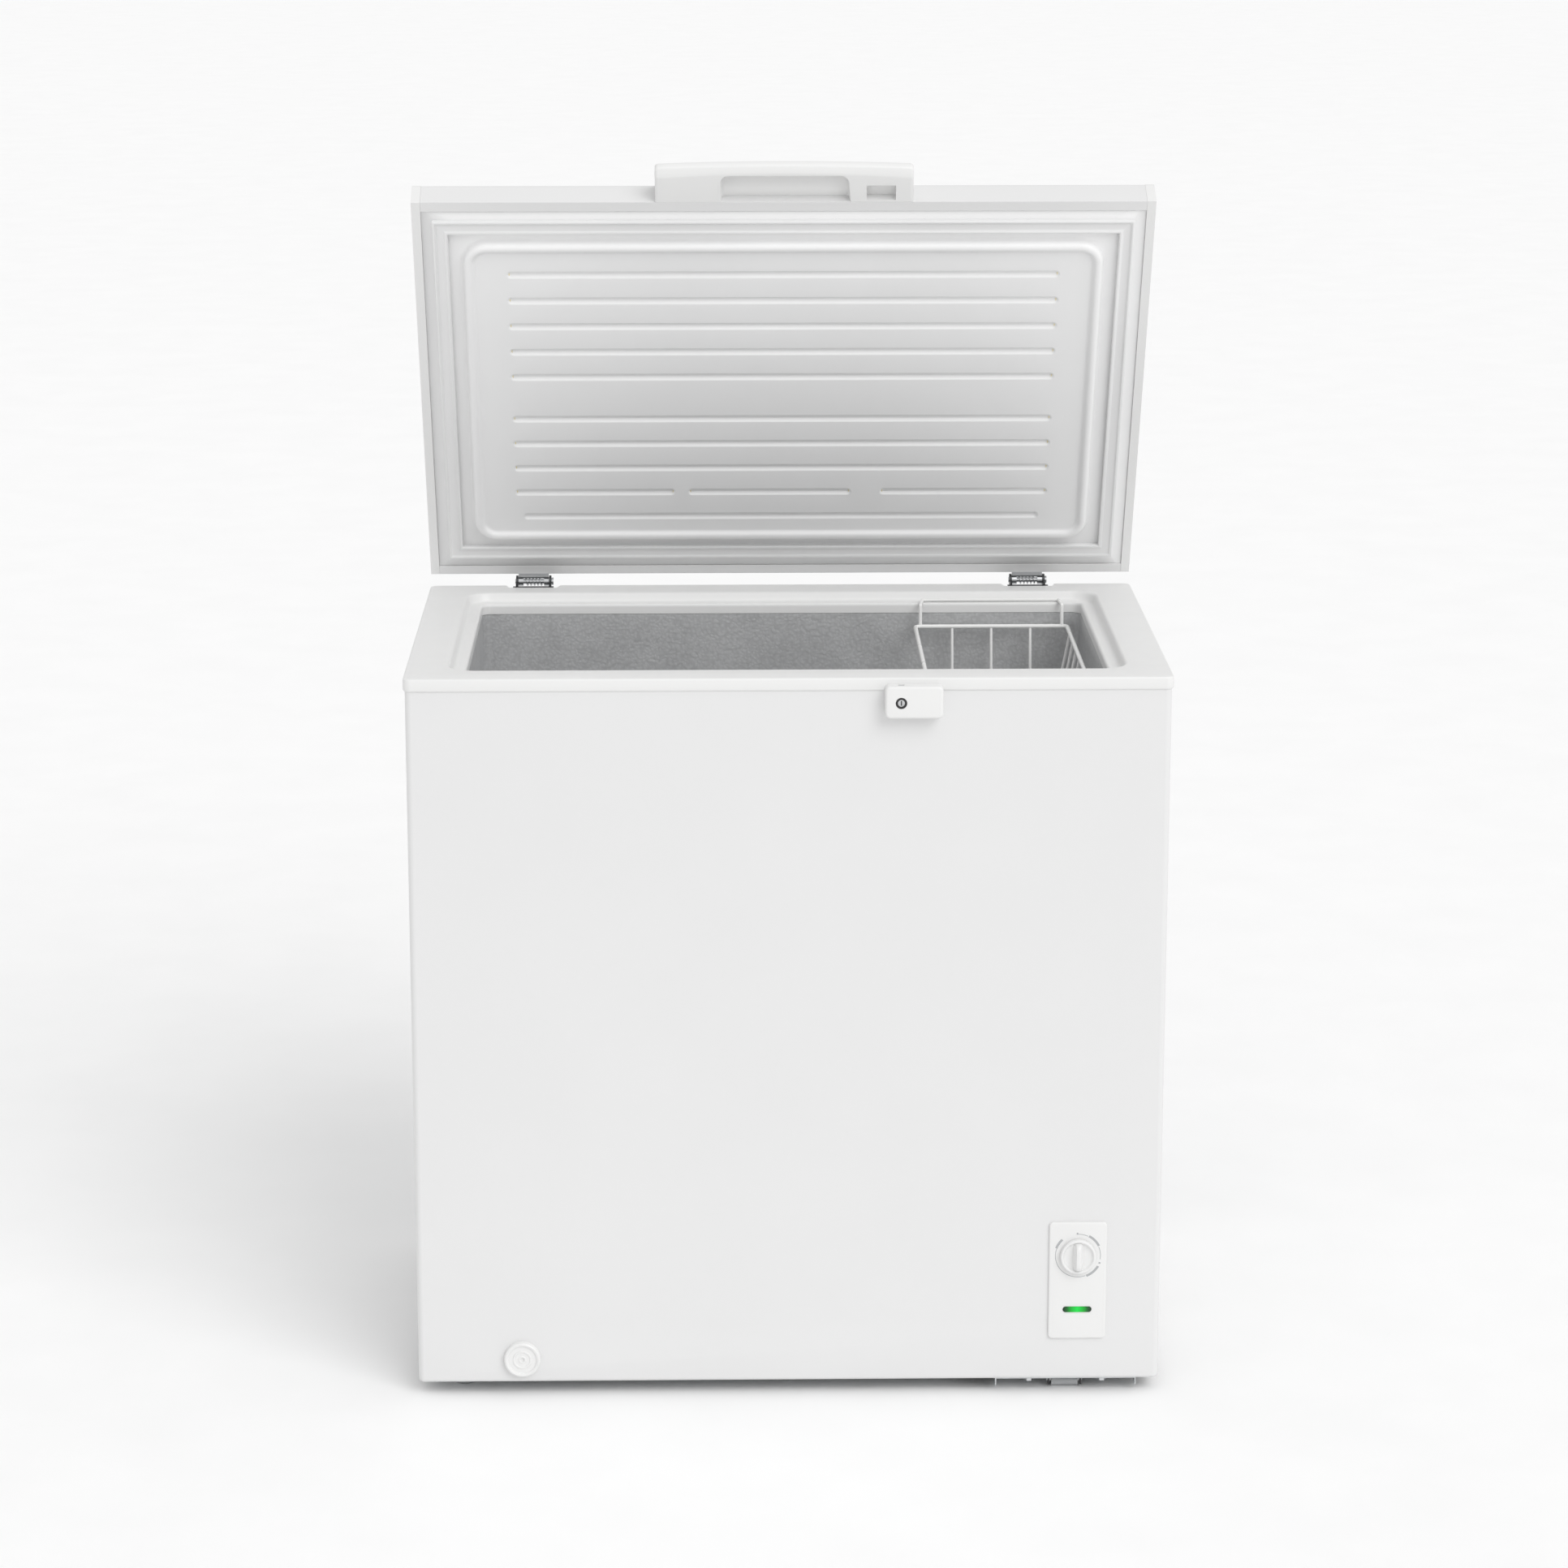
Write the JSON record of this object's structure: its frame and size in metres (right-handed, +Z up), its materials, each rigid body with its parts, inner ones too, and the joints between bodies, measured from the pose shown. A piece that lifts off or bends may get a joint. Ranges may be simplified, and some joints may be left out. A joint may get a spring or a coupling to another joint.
{
  "type": "chest freezer",
  "caption": "Free-standing chest freezer with a hinged insulated lid, moulded handle, key lock, hanging wire basket, front thermostat knob and drain, on feet and rollers.",
  "frame": {"origin": "on the floor, at the centre of the overall width and depth with the lid open", "axes": "+X to the right seen from the front, the front faces -Y, +Z up"},
  "size_m": [0.815, 0.5703, 1.3185],
  "materials": {
    "white_enamel": "smooth white enamel on steel sheet",
    "galvanised": "plain zinc-coated sheet",
    "white_plastic": "smooth white moulded plastic",
    "liner_white": "vacuum-formed white sheet",
    "stucco_aluminium": "stucco-embossed sheet",
    "foam": "rigid polyurethane foam",
    "copper": "drawn copper tube",
    "aluminium_tube": "drawn tube",
    "steel": "bright zinc plate",
    "hinge_steel": "dark zinc plate",
    "black_enamel": "black enamel",
    "black_plastic": "moulded plastic",
    "grey_plastic": "moulded plastic",
    "black_rubber": "moulded rubber",
    "gasket_white": "soft magnetic seal",
    "coated_wire": "white dipped steel wire",
    "lens_green": "lit green lens"
  },
  "bodies": {
    "cabinet": {"outer_case": "white_enamel", "back_panel": "galvanised", "bottom_panel": "galvanised", "base_plate": "galvanised", "cabinet_foam": "foam", "inner_tub": "stucco_aluminium", "top_collar": "white_plastic", "evaporator_coil": "aluminium_tube", "condenser_coil": "copper", "drain_tube": "white_plastic", "control_panel": "white_plastic", "indicator_lens": "lens_green", "thermostat": "grey_plastic", "indicator_lamp": "black_plastic", "lock_housing": "white_plastic", "hinge_bases": "hinge_steel", "hinge_pins": "steel", "hinge_springs": "steel", "hinge_base_screws": "steel", "vent_grille": "white_plastic", "rear_cover": "galvanised", "rear_cover_screws": "steel", "cord_gland": "black_rubber", "compressor": "black_enamel", "compressor_grommets": "black_rubber", "compressor_bolts": "steel", "start_relay_cover": "black_plastic", "suction_line": "copper", "discharge_line": "copper", "filter_drier": "copper", "capillary_tube": "copper", "foot_nuts": "steel", "roller_brackets": "black_enamel", "roller_axles": "steel", "base_bolts": "steel"},
    "lid": {"lid_panel": "white_enamel", "lid_side_trims": "white_plastic", "lid_foam": "foam", "lid_liner": "liner_white", "lid_gasket": "gasket_white", "lid_handle": "white_plastic", "handle_screws": "steel", "hinge_arms": "steel", "hinge_arm_screws": "steel"},
    "basket": {"storage_basket": "coated_wire"},
    "knob": {"thermostat_knob": "white_plastic", "thermostat_shaft": "steel"},
    "key_cylinder": {"lock_cylinder": "steel"},
    "bolt": {"lock_bolt": "steel"},
    "cap": {"drain_cap": "white_plastic"},
    "plug": {"drain_plug": "black_rubber"},
    "front_foot": {"foot_front": "grey_plastic"},
    "rear_foot": {"foot_rear": "grey_plastic"},
    "front_roller": {"roller_front": "grey_plastic"},
    "rear_roller": {"roller_rear": "grey_plastic"}
  },
  "joints": [
    {"name": "lid_hinge", "type": "hinge", "parent": "cabinet", "child": "lid", "pos_m": [0, 0.25166, 0.806], "axis": [-1, 0, 0], "range_deg": [-63, 12]},
    {"name": "basket_slide", "type": "slide", "parent": "cabinet", "child": "basket", "axis": [1, 0, 0], "range_m": [-0.485, 0.004]},
    {"name": "knob_turn", "type": "hinge", "parent": "cabinet", "child": "knob", "pos_m": [0.315, -0.2718, 0.159], "axis": [0, 1, 0], "range_deg": [-140, 140]},
    {"name": "key_turn", "type": "hinge", "parent": "cabinet", "child": "key_cylinder", "pos_m": [0.118, -0.2803, 0.78], "axis": [0, 1, 0], "range_deg": [0, 180]},
    {"name": "bolt_slide", "type": "slide", "parent": "cabinet", "child": "bolt", "axis": [0, 0, 1], "range_m": [0, 0.018]},
    {"name": "cap_pull", "type": "slide", "parent": "cabinet", "child": "cap", "axis": [0, -1, 0], "range_m": [0, 0.022]},
    {"name": "plug_lift", "type": "slide", "parent": "cabinet", "child": "plug", "axis": [0, 0, 1], "range_m": [0, 0.03]},
    {"name": "front_foot_turn", "type": "hinge", "parent": "cabinet", "child": "front_foot", "pos_m": [-0.357, -0.22234, 0.01], "axis": [0, 0, 1], "continuous": true},
    {"name": "rear_foot_turn", "type": "hinge", "parent": "cabinet", "child": "rear_foot", "pos_m": [-0.357, 0.19166, 0.01], "axis": [0, 0, 1], "continuous": true},
    {"name": "front_roller_turn", "type": "hinge", "parent": "cabinet", "child": "front_roller", "pos_m": [0.304, -0.24734, 0.007], "axis": [1, 0, 0], "continuous": true},
    {"name": "rear_roller_turn", "type": "hinge", "parent": "cabinet", "child": "rear_roller", "pos_m": [0.304, 0.20666, 0.007], "axis": [1, 0, 0], "continuous": true}
  ],
  "couplings": [
    {"joint": "key_turn", "follows": "bolt_slide", "rad_per_m": 174.53}
  ]
}
